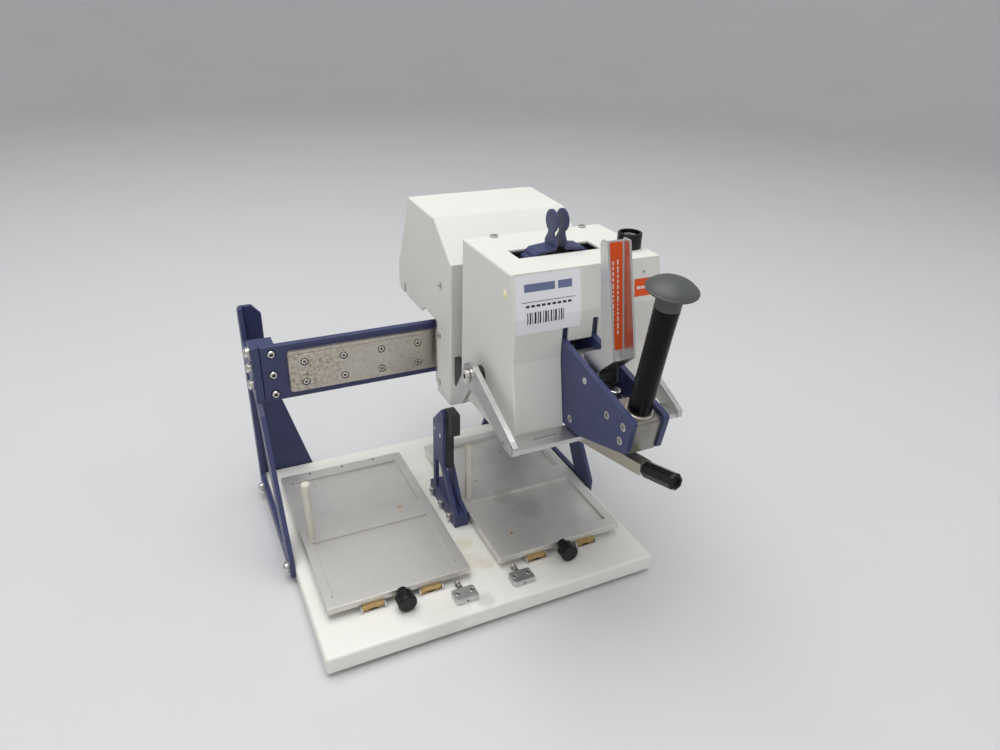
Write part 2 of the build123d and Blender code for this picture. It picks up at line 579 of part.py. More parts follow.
def make_press():
    outline = [(-242, 264), (-236, 232), (-161, 207), (-98, 207), (-98, 290), (-30, 290),
               (-30, 301), (-122.5, 301), (-122.5, 286.4), (-126, 286)]
    with BuildPart() as press_plates:
        for x in PRESS_X:
            prism(yz(x[0]), outline, x[1] - x[0])
            rod(yz(x[0] - 1), [LEVER_AT], 3.05, 7, Mode.SUBTRACT)
        fillet(press_plates.edges().filter_by(Axis.X).group_by(Axis.Y)[0], radius=4)
        for side, x in ((-1, PRESS_X[0][0]), (1, PRESS_X[1][1])):
            drill(side_face(x, side), on_side(PRESS_SCREWS, side), 3.9, 1.5)
            drill(side_face(x, side), on_side(PRESS_SCREWS, side), 1.85, 6)
    save(press_plates, "press_plates")

    inside = (PRESS_X[0][1], PRESS_X[1][0])
    with BuildPart() as handle_block:
        prism(yz(inside[0]), [(-239, 260.5), (-233.5, 229.5), (-200, 235), (-206, 266)],
              inside[1] - inside[0])
        fillet(handle_block.edges().filter_by(Axis.X).group_by(Axis.Y)[0], radius=4)
        for side, x in ((-1, inside[0]), (1, inside[1])):
            drill(side_face(x, side), on_side(PRESS_SCREWS[:3], side), 1.85, 5)
        with BuildSketch(Plane(origin=at(*HANDLE_FOOT), x_dir=(1, 0, 0), z_dir=HANDLE_UP)):
            Circle(4.05)
        extrude(amount=-16, mode=Mode.SUBTRACT)
    save(handle_block, "handle_block")

    with BuildPart() as bridge_sheets:
        prism(yz(inside[0]), [(-199, 250), (-154, 250), (-154, 272), (-128, 272), (-128, 275),
                              (-157, 275), (-157, 253), (-199, 253)], inside[1] - inside[0])
        box((inside[0], inside[0] + 6), (-154, -143), (211, 222))
        box((inside[1] - 6, inside[1]), (-154, -143), (211, 222))
        box(inside, (-150, -147), (222, 252))
        box(inside, (-154, -143), (219, 222))
        for side, x in ((-1, inside[0]), (1, inside[1])):
            drill(side_face(x, side), on_side(PRESS_SCREWS[3:], side), 1.85, 4)
        drill(xy(253), [GUIDE_PIN], 3.05, 4)
    save(bridge_sheets, "bridge_sheets")

    with BuildPart() as piston_plate:
        box((28, 151), (-92, -22), (283, 289.7))
        box((143, 156.5), (-92, -79), (283, 289.7))
    save(piston_plate, "piston_plate")

    with BuildPart() as pistons:
        wells(PISTON_R, xy(215), 68)
        wells(3.6, xy(281), 2)
    save(pistons, "pistons")

    with BuildPart() as press_screws:
        for side, x in ((-1, PRESS_X[0][0] + 1.5), (1, PRESS_X[1][1] - 1.5)):
            screws(side_face(x, side), on_side(PRESS_SCREWS, side), (3.7, 1.3), (1.8, 6.5),
                   2.2)
    save(press_screws, "press_screws")


def make_pins():
    ends = (PRESS_X[0][0] - 0.6, PRESS_X[1][1] + 0.6)
    with BuildPart() as press_pins:
        rod(yz(ends[0]), [LEVER_AT], 3, ends[1] - ends[0])
        rod(xy(253), [GUIDE_PIN], 5.6, 13.5)
        fillet(press_pins.edges().filter_by(GeomType.CIRCLE).group_by(Axis.Z)[-1], radius=1.2)
        with Locations(at(*GUIDE_PIN, 260)):
            with PolarLocations(6, 12):
                Cylinder(0.9, 7, mode=Mode.SUBTRACT)
        rod(xy(253), [GUIDE_PIN], 3, -3)
        with BuildSketch(Plane(origin=at(*HANDLE_FOOT), x_dir=(1, 0, 0), z_dir=HANDLE_UP)):
            Circle(4)
        extrude(amount=110, dir=HANDLE_UP)
        with BuildSketch(Plane(origin=at(*HANDLE_FOOT), x_dir=(1, 0, 0), z_dir=HANDLE_UP)):
            Circle(4)
        extrude(amount=-15)
    save(press_pins, "press_pins")


TILT = math.radians(HANDLE_TILT)
HANDLE_UP = (0, -math.sin(TILT), math.cos(TILT))
HANDLE_PLANE = Plane(origin=at(*HANDLE_FOOT), x_dir=(1, 0, 0),
                     z_dir=(0, -math.cos(TILT), -math.sin(TILT)))
HANDLE_AXIS = Axis(at(*HANDLE_FOOT), HANDLE_UP)


def turned(outline):
    """A turned piece on the handle's axis from (radius, height) points."""
    with BuildSketch(HANDLE_PLANE) as profile:
        with BuildLine():
            Polyline(*outline, close=True)
        make_face()
    revolve(profile.sketch, axis=HANDLE_AXIS)


def make_handle():
    with BuildPart() as handle_ring:
        turned([(4.05, 0.05), (12.4, 0.05), (12.4, 1.2), (11.4, 2), (4.05, 2)])
    save(handle_ring, "handle_ring")

    with BuildPart() as handle_grip:
        with BuildSketch(HANDLE_PLANE):
            with BuildLine():
                Polyline((4.05, 99), (4.05, 2.05), (9.6, 2.05), (10.2, 3))
                Spline((10.2, 3), (9.8, 40), (9.8, 75), (10.2, 99))
                Line((10.2, 99), (4.05, 99))
            make_face()
        revolve(axis=HANDLE_AXIS)
    save(handle_grip, "handle_grip")

    with BuildPart() as handle_cap:
        with BuildSketch(HANDLE_PLANE):
            with BuildLine():
                Polyline((0, 110.1), (4.05, 110.1), (4.05, 99.1), (10.2, 99.1), (10.2, 109))
                ThreePointArc((10.2, 109), (12.4, 112), (19, 113.2))
                ThreePointArc((19, 113.2), (20.3, 114.2), (19.4, 115.2))
                Bezier((19.4, 115.2), (17, 118.6), (9.5, 122.6), (0, 122.6))
                Line((0, 122.6), (0, 110.1))
            make_face()
        revolve(axis=HANDLE_AXIS)
    save(handle_cap, "handle_cap")


def make_lock_lever():
    web = [(-161.5, 387), (-181.0, 287), (-171, 279), (-161, 277), (-161, 279),
           (-170, 281), (-178.8, 288), (-159.5, 387)]
    wall = [(-161, 387), (-161.4, 389.2), (-169.5, 389.2), (-195.5, 296), (-174.5, 276),
            (-174.5, 266), (-161.5, 266), (-161.5, 276), (-151.5, 279), (-151.5, 284.5),
            (-168, 294.5), (-175.5, 298), (-178, 303)]
    left, right = LEVER_X
    with BuildPart() as lock_lever:
        prism(yz(left), web, right - left)
        for x in (left, right - LEVER_WALL):
            prism(yz(x), wall, LEVER_WALL)
            rod(yz(x), [LEVER_AT], 7.5, LEVER_WALL)
            rod(yz(x - 1), [LEVER_AT], 3.05, 4, Mode.SUBTRACT)
    save(lock_lever, "lock_lever")


# ---------------------------------------------------------------- load frame
def make_load_frame():
    outline = [(-50.5, 231), (-53, 240.5), (-62, 246.3), (-74, 247), (-158, 212.7),
               (-165, 208.5), (-165, 201), (-158, 198.5), (-148, 198.8), (-84, 220),
               (-66, 218.6), (-46.2, 191), (-28.8, 197.8)]
    tenon_y, bar_z = (-160.5, -148.5), (201.0, 205.5)
    with BuildPart() as load_arms:
        for x in ARM_X:
            prism(yz(x[0]), outline, x[1] - x[0], corner=2)
            rod(yz(x[0] - 1), [PIVOT], 4.06, 7, Mode.SUBTRACT)
            box((x[0] - 1, x[1] + 1), (tenon_y[0] - 0.05, tenon_y[1] + 0.05),
                (bar_z[0] - 0.05, bar_z[1] + 0.05), Mode.SUBTRACT)
        for side, x in ((-1, ARM_X[0][0]), (1, ARM_X[1][1])):
            drill(side_face(x, side), on_side([(-161.5, 208.2), (-145, 204.5)], side), 1.7, 2.5)
    save(load_arms, "load_arms")

    inside = (ARM_X[0][1] + 0.05, ARM_X[1][0] - 0.05)
    with BuildPart() as load_crossbar:
        box(inside, (-163.5, -141), bar_z)
        box((ARM_X[0][0] - 0.6, ARM_X[1][1] + 0.6), tenon_y, bar_z)
        box((25, 49), (-154.3, -150.7), (200, 207), Mode.SUBTRACT)
    save(load_crossbar, "load_crossbar")

    with BuildPart() as load_lever:
        prism(yz(75), [(-148, 190), (-243, 212.5), (-243, 223.4), (-163.8, 206.2),
                       (-163.8, 200.95), (-148, 200.95)], 12)
        prism(yz(77), [(-147, 180), (-241, 200), (-241, 221), (-165.8, 204.2),
                       (-165.8, 198.9), (-147, 198.9)], 8, Mode.SUBTRACT)
    save(load_lever, "load_lever")

    axis = (0, -44, 14)
    with BuildPart() as load_grip:
        with BuildSketch(Plane(origin=at(81, -245.5, 218.6), x_dir=(1, 0, 0), z_dir=axis)):
            RegularPolygon(7.2, 8)
        extrude(amount=37.6)
        chamfer(load_grip.faces().sort_by(Axis.Y)[0].edges(), length=1.5)
        with BuildSketch(Plane(origin=at(81, -281.3, 229.99), x_dir=(1, 0, 0), z_dir=axis)):
            Circle(3.6)
        extrude(amount=-2, both=True, mode=Mode.SUBTRACT)
    save(load_grip, "load_grip")

    with BuildPart() as stripper_plate:
        box((34, 145), (-96, -14.4), (196, 200))
        wells(3.6, xy(201), -6, Mode.SUBTRACT)
        rod(xy(199.5), GUIDE_POSTS, 2, 48)
    save(stripper_plate, "stripper_plate")


make_base()
make_uprights()
make_beam()
make_post()
for drawer in ("left", "right"):
    make_tray(drawer)
make_carriage()
make_head()
make_tabs()
make_volume_knob()
make_press()
make_pins()
make_handle()
make_lock_lever()
make_load_frame()
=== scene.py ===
"""Looks of the hand-operated 96-channel benchtop pipetting station.

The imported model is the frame; everything here is in metres in its frame: +Z up,
-Y towards the user.  Materials are procedural and take object coordinates, so
that their patterns stay at real size and move with their bodies.
"""

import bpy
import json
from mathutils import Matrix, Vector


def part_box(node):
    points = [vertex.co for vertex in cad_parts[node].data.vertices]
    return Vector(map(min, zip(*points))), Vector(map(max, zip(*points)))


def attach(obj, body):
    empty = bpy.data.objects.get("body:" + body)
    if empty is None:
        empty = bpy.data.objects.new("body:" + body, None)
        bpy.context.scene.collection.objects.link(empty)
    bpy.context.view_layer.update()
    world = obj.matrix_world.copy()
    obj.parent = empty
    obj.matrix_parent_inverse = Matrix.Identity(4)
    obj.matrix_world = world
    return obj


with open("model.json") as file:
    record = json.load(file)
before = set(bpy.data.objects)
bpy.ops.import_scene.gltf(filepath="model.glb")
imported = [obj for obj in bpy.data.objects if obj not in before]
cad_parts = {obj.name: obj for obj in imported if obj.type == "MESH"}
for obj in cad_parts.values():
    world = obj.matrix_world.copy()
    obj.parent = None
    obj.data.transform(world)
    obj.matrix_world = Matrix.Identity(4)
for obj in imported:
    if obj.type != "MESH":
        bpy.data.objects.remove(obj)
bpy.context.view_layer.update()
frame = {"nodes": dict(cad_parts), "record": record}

import json
import math

import bmesh
import bpy
from mathutils import Matrix, Vector

MM = 0.001
BASE_Y = 0.0495               # where the middle of the base plate sits
NEST_FLOOR = (0.0342, 0.0339)  # heights between which a tray's rim becomes a nest's floor
ON_SURFACE = 0.06 * MM        # a stuck-on film's clearance from the surface
ON_FILM = 0.20 * MM           # and that of the printing on such a film
INK = 0.03 * MM               # thickness of printing


def at(x, y, z):
    """A point in millimetres from the middle of the base plate, in frame metres."""
    return Vector((x * MM, BASE_Y + y * MM, z * MM))


# ---------------------------------------------------------------- shader building
class Look:
    """A node material, built up by short calls."""

    def __init__(self, name):
        self.material = bpy.data.materials.new(name)
        self.material.use_nodes = True
        self.tree = self.material.node_tree
        self.shader = self.tree.nodes["Principled BSDF"]
        self.place = self.node("ShaderNodeTexCoord").outputs["Object"]

    def node(self, kind, values=None, **settings):
        made = self.tree.nodes.new(kind)
        for key, value in settings.items():
            setattr(made, key, value)
        for key, value in (values or {}).items():
            self.put(made.inputs[key], value)
        return made

    def put(self, socket, value):
        if isinstance(value, bpy.types.NodeSocket):
            self.tree.links.new(value, socket)
        else:
            socket.default_value = value

    def maths(self, operation, a, b=0.0, c=0.0):
        made = self.node("ShaderNodeMath", operation=operation)
        for socket, value in zip(made.inputs, (a, b, c)):
            self.put(socket, value)
        return made.outputs[0]

    def span(self, value, low, high, to_low=0.0, to_high=1.0):
        """Value from low..high to to_low..to_high, held at the ends."""
        made = self.node("ShaderNodeMapRange", {"Value": value, "From Min": low,
                         "From Max": high, "To Min": to_low, "To Max": to_high})
        return made.outputs["Result"]

    def mix(self, amount, first, second, blend="MIX"):
        made = self.node("ShaderNodeMix", data_type="RGBA", blend_type=blend)
        self.put(made.inputs["Factor"], amount)
        self.put(made.inputs["A"], rgba(first))
        self.put(made.inputs["B"], rgba(second))
        return made.outputs["Result"]

    def stretched(self, scale):
        made = self.node("ShaderNodeMapping", {"Vector": self.place, "Scale": scale})
        return made.outputs["Vector"]

    def noise(self, scale, detail=3.0, roughness=0.55, vector=None):
        """Noise with features of about 1/scale metres."""
        made = self.node("ShaderNodeTexNoise", {"Vector": vector or self.place,
                         "Scale": scale, "Detail": detail, "Roughness": roughness})
        return made.outputs["Fac"]

    def xyz(self):
        made = self.node("ShaderNodeSeparateXYZ", {"Vector": self.place})
        return made.outputs

    def edges(self, radius):
        """1 on sharp edges, 0 away from them."""
        soft = self.node("ShaderNodeBevel", {"Radius": radius}, samples=4)
        hard = self.node("ShaderNodeNewGeometry")
        dot = self.node("ShaderNodeVectorMath", operation="DOT_PRODUCT")
        self.put(dot.inputs[0], soft.outputs["Normal"])
        self.put(dot.inputs[1], hard.outputs["Normal"])
        return self.span(dot.outputs["Value"], 0.995, 0.86)

    def blot(self, spot, radius, ragged=0.5, scale=160.0):
        """A soft ragged patch round a point in frame metres."""
        away = self.node("ShaderNodeVectorMath", operation="DISTANCE")
        self.put(away.inputs[0], self.place)
        away.inputs[1].default_value = spot
        wobble = self.maths("MULTIPLY", self.noise(scale, 4.0), ragged * 2 * radius)
        reach = self.maths("ADD", away.outputs["Value"], wobble)
        return self.span(reach, radius * (1 + ragged), radius * (0.45 + ragged))

    def bump(self, height, strength, distance, soften=0.0):
        values = {"Height": height, "Strength": strength, "Distance": distance}
        if soften:
            rounded = self.node("ShaderNodeBevel", {"Radius": soften}, samples=4)
            values["Normal"] = rounded.outputs["Normal"]
        made = self.node("ShaderNodeBump", values)
        self.put(self.shader.inputs["Normal"], made.outputs["Normal"])

    def finish(self, colour, roughness, metallic=0.0):
        self.put(self.shader.inputs["Base Color"], rgba(colour))
        self.put(self.shader.inputs["Roughness"], roughness)
        self.shader.inputs["Metallic"].default_value = metallic
        return self.material


def rgba(colour):
    if isinstance(colour, bpy.types.NodeSocket):
        return colour
    return (*colour, 1.0)


# ---------------------------------------------------------------- materials
def powder_coat(name, colour, edge_wear_and_highlight, grain=1100.0, depth=0.25, rough=0.42, stains=()):
    """Sprayed and baked paint: fine orange peel, faint clouds, an edge colour: wear where it is
    darker, a painted highlight where it is lighter.
    """
    look = Look(name)
    cloud = look.span(look.noise(14.0, 4.0), 0.3, 0.7)
    tone = look.mix(look.maths("MULTIPLY", cloud, 0.5), colour, [c * 0.93 for c in colour])
    fleck = look.span(look.noise(grain * 1.6, 1.0), 0.45, 0.75)
    tone = look.mix(look.maths("MULTIPLY", fleck, 0.12), tone, [min(1.0, c * 1.15) for c in colour])
    for spot, radius, tint, amount in stains:
        patch = look.maths("MULTIPLY", look.blot(spot, radius), amount)
        tone = look.mix(patch, tone, tint)
    # Edge colour along the edges: wear on the cream paints, a painted highlight on the blue coat.
    rubbed_and_lit_edges = look.maths("MULTIPLY", look.edges(0.0009), look.span(look.noise(120.0), 0.35, 0.7))
    tone = look.mix(look.maths("MULTIPLY", rubbed_and_lit_edges, 0.6), tone, edge_wear_and_highlight)
    look.bump(look.noise(grain, 2.0), depth, 0.00025, soften=0.0006)
    patchy = look.span(look.noise(60.0), 0.3, 0.7, rough - 0.05, rough + 0.07)
    return look.finish(tone, patchy)


def base_paint():
    """The bench-side plate is stained where liquid has dried on it."""
    tan, grey = (0.62, 0.42, 0.20), (0.42, 0.40, 0.36)
    stains = [(at(-4, -61, 22.4), 0.014, tan, 0.3), (at(-8, -87, 22.4), 0.018, tan, 0.22),
              (at(6, -100, 22.4), 0.012, tan, 0.25), (at(-15, -147, 22.4), 0.012, grey, 0.35),
              (at(-60, -150, 22.4), 0.030, grey, 0.18), (at(-20, 60, 22.4), 0.040, grey, 0.15)]
    return powder_coat("cream_paint", (0.90, 0.89, 0.83), (0.60, 0.57, 0.50), rough=0.36,
                       stains=stains)


def metal(name, colour, rough, grain_scale, grain_axis="x", smut=0.25, edge_highlight=0.5,
          depth=0.12, contrast=0.35, recess_shade=0.0):
    """Bare metal with a directional grain, uneven gloss, smut, a painted highlight on the edges
    and, where asked for, painted shade in recesses.
    """
    look = Look(name)
    stretch = {"x": (0.04, 1, 1), "y": (1, 0.04, 1), "z": (1, 1, 0.04), "none": (1, 1, 1)}
    grain = look.noise(grain_scale, 3.0, 0.6, look.stretched(stretch[grain_axis]))
    dirt = look.span(look.noise(35.0, 5.0, 0.6), 0.42, 0.72)
    tone = look.mix(look.maths("MULTIPLY", grain, contrast), colour, [c * 0.72 for c in colour])
    tone = look.mix(look.maths("MULTIPLY", dirt, smut), tone, [c * 0.45 for c in colour])
    # Painted shade: ambient occlusion darkens the colour in recesses such as screw sockets.
    if recess_shade:
        shade = look.node("ShaderNodeAmbientOcclusion", {"Distance": 0.004}, samples=6)
        painted_recess_shade = look.span(shade.outputs["AO"], 0.75, 0.35, 0.0, recess_shade)
        tone = look.mix(painted_recess_shade, tone, [c * 0.04 for c in colour])
    # Painted highlight: the edges are lightened.
    lit = look.maths("MULTIPLY", look.edges(0.0007), edge_highlight)
    tone = look.mix(lit, tone, [min(1.0, c * 1.5 + 0.08) for c in colour])
    gloss = look.maths("ADD", look.span(grain, 0.3, 0.7, rough - 0.05, rough + 0.08),
                       look.maths("MULTIPLY", dirt, 0.1))
    look.bump(grain, depth, 0.0001, soften=0.0005)
    return look.finish(tone, gloss, metallic=1.0)


def rail_steel():
    """Ground steel rail, brown bloom and rust specks creeping in from its ends."""
    look = Look("rail_steel")
    grain = look.noise(700.0, 4.0, 0.65, look.stretched((0.12, 1, 1)))
    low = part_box("beam_rail")[0]
    along = look.xyz()["X"]
    near_left = look.span(along, low.x + 0.10, low.x)
    rust_field = look.span(look.noise(260.0, 6.0, 0.75), 0.47, 0.66)
    bloom = look.span(look.noise(30.0, 4.0), 0.35, 0.65)
    reach = look.maths("ADD", 0.30, look.maths("MULTIPLY", near_left, 0.45))
    rust = look.maths("MULTIPLY", look.maths("MULTIPLY", rust_field, reach),
                      look.maths("ADD", 0.45, bloom))
    steel = look.mix(grain, (0.74, 0.70, 0.62), (0.46, 0.42, 0.36))
    tone = look.mix(rust, steel, (0.24, 0.145, 0.085))
    left_edge = look.maths("MULTIPLY", look.edges(0.0008), near_left)
    tone = look.mix(look.maths("MULTIPLY", left_edge, 0.8), tone, (0.12, 0.050, 0.02))
    # Painted highlight: the edges are lightened.
    tone = look.mix(look.maths("MULTIPLY", look.edges(0.0008), 0.25), tone, (0.85, 0.82, 0.76))
    look.put(look.shader.inputs["Metallic"], look.span(rust, 0.1, 0.6, 0.95, 0.25))
    look.bump(look.maths("ADD", grain, rust), 0.25, 0.0001, soften=0.0004)
    look.put(look.shader.inputs["Base Color"], tone)
    look.put(look.shader.inputs["Roughness"], look.span(rust, 0.0, 0.6, 0.34, 0.75))
    return look.material


def tray_aluminium(name, nests, stains=(), level=1.0):
    """Bead-blasted plate; the nest floors show the cutter's nested rectangles."""
    look = Look(name)
    blast = look.noise(2600.0, 2.0)
    cloud = look.span(look.noise(26.0, 4.0), 0.32, 0.68)
    base, dark = [[c * level for c in pair] for pair in ((0.46, 0.45, 0.43),
                                                         (0.36, 0.352, 0.335))]
    tone = look.mix(look.maths("MULTIPLY", cloud, 0.7), base, dark)
    tone = look.mix(look.maths("MULTIPLY", blast, 0.25), tone, (0.60, 0.59, 0.57))
    xyz = look.xyz()
    floor = look.span(xyz["Z"], *NEST_FLOOR)
    marks = None
    for (cx, cy), (half_x, half_y), pitch, power in nests:
        off_x = look.maths("ABSOLUTE", look.maths("SUBTRACT", xyz["X"], cx))
        off_y = look.maths("ABSOLUTE", look.maths("SUBTRACT", xyz["Y"], cy))
        side = look.maths("SUBTRACT", half_x, off_x)
        end = look.maths("SUBTRACT", half_y, off_y)
        inset = look.maths("SMOOTH_MIN", side, end, 0.004)
        inside = look.span(inset, 0.004, 0.010)
        wave = look.maths("SINE", look.maths("MULTIPLY", inset, 2 * math.pi / pitch))
        wave = look.maths("MULTIPLY", look.span(wave, -0.6, 1.0), inside)
        patchy = look.span(look.noise(38.0, 3.0), 0.36, 0.62)
        wave = look.maths("MULTIPLY", look.maths("MULTIPLY", wave, patchy), power)
        marks = wave if marks is None else look.maths("MAXIMUM", marks, wave)
    marks = look.maths("MULTIPLY", marks, floor)
    tone = look.mix(marks, tone, (0.62, 0.61, 0.59))
    for spot, radius, tint, amount in stains:
        tone = look.mix(look.maths("MULTIPLY", look.blot(spot, radius), amount), tone, tint)
    # Painted highlight: the edges are lightened.
    tone = look.mix(look.maths("MULTIPLY", look.edges(0.0006), 0.55), tone, (0.80, 0.79, 0.77))
    look.bump(look.maths("ADD", blast, look.maths("MULTIPLY", marks, 0.6)), 0.16, 0.0001,
              soften=0.0005)
    return look.finish(tone, look.span(cloud, 0, 1, 0.40, 0.50), metallic=0.85)


def plastic(name, colour, rough, grain=900.0, depth=0.08, dust=0.12, specular=0.5):
    """Moulded plastic: faint surface grain, patchy dust, edges lightened as a painted highlight."""
    look = Look(name)
    film = look.span(look.noise(55.0, 4.0), 0.4, 0.75)
    tone = look.mix(look.maths("MULTIPLY", film, dust), colour, [c * 0.6 + 0.12 for c in colour])
    # Painted highlight: the edges are lightened.
    tone = look.mix(look.maths("MULTIPLY", look.edges(0.0006), 0.25), tone,
                    [c * 0.7 + 0.14 for c in colour])
    look.bump(look.noise(grain, 3.0), depth, 0.0002, soften=0.0005)
    look.shader.inputs["Specular IOR Level"].default_value = specular
    return look.finish(tone, look.span(film, 0, 1, rough, rough + 0.12))


def printed(name, colour, rough=0.38):
    """Vinyl film or printing ink, slightly mottled."""
    look = Look(name)
    tone = look.mix(look.span(look.noise(180.0, 3.0), 0.3, 0.8, 0.0, 0.25), colour,
                    [c * 0.88 for c in colour])
    look.bump(look.noise(420.0, 2.0), 0.05, 0.0001)
    return look.finish(tone, look.span(look.noise(90.0), 0.3, 0.7, rough - 0.04, rough + 0.06))


NEST_HALF = (0.064, 0.043)
LEFT_NESTS = [((-0.09175, BASE_Y - 0.0551), NEST_HALF, 0.0052, 0.55),
              ((-0.09175, BASE_Y + 0.0590), NEST_HALF, 0.0060, 0.35)]
RIGHT_NESTS = [((0.08945, BASE_Y - 0.0551), NEST_HALF, 0.0045, 0.18)]
ORANGE = (0.62, 0.23, 0.03)
SOOT = (0.16, 0.155, 0.15)
RUST = (0.22, 0.07, 0.03)

LOOKS = {
    "cream_paint": base_paint(),
    "cover_paint": powder_coat("cover_paint", (0.79, 0.785, 0.735), (0.62, 0.60, 0.55),
                               grain=900.0, depth=0.3, rough=0.5),
    # The lighter edge colour of the blue coat is a painted highlight.
    "blue_paint": powder_coat("blue_paint", (0.042, 0.050, 0.135), (0.18, 0.19, 0.36),
                              grain=1300.0, depth=0.3, rough=0.4),
    "foot_rubber": plastic("foot_rubber", (0.02, 0.02, 0.02), 0.7, grain=500.0),
    "rail_steel": rail_steel(),
    # Painted shade darkens the screw sockets.
    "screw_steel": metal("screw_steel", (0.75, 0.72, 0.68), 0.24, 500.0, "none", smut=0.15,
                         contrast=0.15, depth=0.05, recess_shade=1.0),
    "bearing_steel": metal("bearing_steel", (0.60, 0.60, 0.61), 0.28, 600.0, "z"),
    "bridge_steel": metal("bridge_steel", (0.74, 0.735, 0.72), 0.33, 2200.0, "z", smut=0.08,
                          edge_highlight=0.3, depth=0.04, contrast=0.12),
    "bare_aluminium": metal("bare_aluminium", (0.62, 0.62, 0.61), 0.33, 1100.0, "x", smut=0.12,
                            depth=0.06, contrast=0.2),
    "brown_steel": metal("brown_steel", (0.36, 0.345, 0.315), 0.34, 1500.0, "x", smut=0.3,
                         depth=0.05, contrast=0.2),
    "beige_nickel": metal("beige_nickel", (0.56, 0.53, 0.45), 0.40, 1500.0, "y", smut=0.15,
                          depth=0.05, contrast=0.15),
    "tray_left": tray_aluminium("tray_left", LEFT_NESTS,
                                [(at(-51.6, 11, 36.4), 0.0042, ORANGE, 0.4)], level=1.55),
    # The right tray is made lighter than the left (level 1.9 against 1.55): painted light that
    # offsets the head's shadow on it.
    "tray_right": tray_aluminium("tray_right", RIGHT_NESTS,
                                 [(at(46.8, -77.3, 33.6), 0.0026, ORANGE, 0.8),
                                  (at(83.7, -45.3, 33.6), 0.024, SOOT, 0.2),
                                  (at(66, -18, 33.6), 0.016, SOOT, 0.18),
                                  (at(73.9, 16.6, 36.4), 0.0024, RUST, 0.6),
                                  (at(154.7, 90.6, 36.4), 0.0014, RUST, 0.7),
                                  (at(17.2, -30.9, 36.4), 0.0012, RUST, 0.7)],
                                 level=1.9),
    "runner_brass": metal("runner_brass", (0.62, 0.43, 0.20), 0.40, 900.0, "y", smut=0.4,
                          depth=0.06),
    "pin_chrome": metal("pin_chrome", (0.78, 0.78, 0.79), 0.10, 300.0, "none", smut=0.1,
                        depth=0.02, contrast=0.1),
    "black_plastic": plastic("black_plastic", (0.018, 0.018, 0.02), 0.48),
    "black_gloss": plastic("black_gloss", (0.007, 0.007, 0.008), 0.20, depth=0.04, dust=0.05,
                           specular=0.3),
    "grip_gloss": plastic("grip_gloss", (0.003, 0.003, 0.0035), 0.22, depth=0.02, dust=0.0,
                          specular=0.15),
    "cap_plastic": plastic("cap_plastic", (0.070, 0.074, 0.074), 0.42, depth=0.05),
    "cream_plastic": plastic("cream_plastic", (0.74, 0.70, 0.60), 0.42, dust=0.1),
    "orange_film": printed("orange_film", (0.83, 0.09, 0.004)),
    "white_film": printed("white_film", (0.95, 0.95, 0.97)),
    "blue_ink": printed("blue_ink", (0.17, 0.20, 0.36)),
    "grey_ink": printed("grey_ink", (0.20, 0.21, 0.26)),
    "dark_ink": printed("dark_ink", (0.02, 0.02, 0.022)),
    "pale_ink": printed("pale_ink", (0.86, 0.80, 0.76)),
    "yellow_plug": plastic("yellow_plug", (0.90, 0.85, 0.58), 0.4),
}
NODE_LOOKS = {"left_tray": "tray_left", "right_tray": "tray_right",
              "handle_block": "brown_steel", "load_lever": "beige_nickel",
              "handle_ring": "beige_nickel", "handle_cap": "cap_plastic",
              "handle_grip": "grip_gloss"}


def dress_frame():
    """Every CAD node gets its look."""
    for row in frame["record"]["subparts"]:
        node = frame["nodes"][row["node"]]
        look = LOOKS[NODE_LOOKS.get(row["node"], row["material_slot"])]
        node.data.materials.clear()
        node.data.materials.append(look)
        for face in node.data.polygons:
            face.material_index = 0


# ---------------------------------------------------------------- added pieces
def piece(name, mesh_or_bm, body, look, smooth=False):
    """Links a mesh, gives it a look and lets it ride on a body."""
    if isinstance(mesh_or_bm, bmesh.types.BMesh):
        mesh = bpy.data.meshes.new(name)
        bmesh.ops.recalc_face_normals(mesh_or_bm, faces=mesh_or_bm.faces)
        mesh_or_bm.to_mesh(mesh)
        mesh_or_bm.free()
    else:
        mesh = mesh_or_bm
    made = bpy.data.objects.new(name, mesh)
    bpy.context.scene.collection.objects.link(made)
    mesh.materials.append(LOOKS[look])
    if smooth:
        mesh.shade_smooth()
        mesh.set_sharp_from_angle(angle=math.radians(35))
    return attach(made, body)


def lathe(profile, origin, axis, steps=48):
    """A turned solid from (radius, height) points, closed on its axis."""
    bm = bmesh.new()
    turn = axis.normalized().to_track_quat("Z", "Y").to_matrix()
    rings = []
    for radius, height in profile:
        if radius == 0:
            rings.append([bm.verts.new(origin + turn @ Vector((0, 0, height)))])
            continue
        ring = []
        for k in range(steps):
            a = 2 * math.pi * k / steps
            ring.append(bm.verts.new(origin + turn @ Vector((radius * math.cos(a),
                                                             radius * math.sin(a), height))))
        rings.append(ring)
    for low, high in zip(rings, rings[1:]):
        for k in range(steps):
            j = (k + 1) % steps
            corners = [low[k % len(low)], low[j % len(low)], high[j % len(high)],
                       high[k % len(high)]]
            bm.faces.new(list(dict.fromkeys(corners)))
    return bm


def rounded_outline(width, height, radius, steps=5):
    """Points round a rectangle from (0, 0) to (width, height)."""
    points = []
    corners = ((width - radius, radius, -90), (width - radius, height - radius, 0),
               (radius, height - radius, 90), (radius, radius, 180))
    for cx, cy, start in corners:
        for k in range(steps + 1):
            a = math.radians(start + 90 * k / steps)
            points.append((cx + radius * math.cos(a), cy + radius * math.sin(a)))
    return points


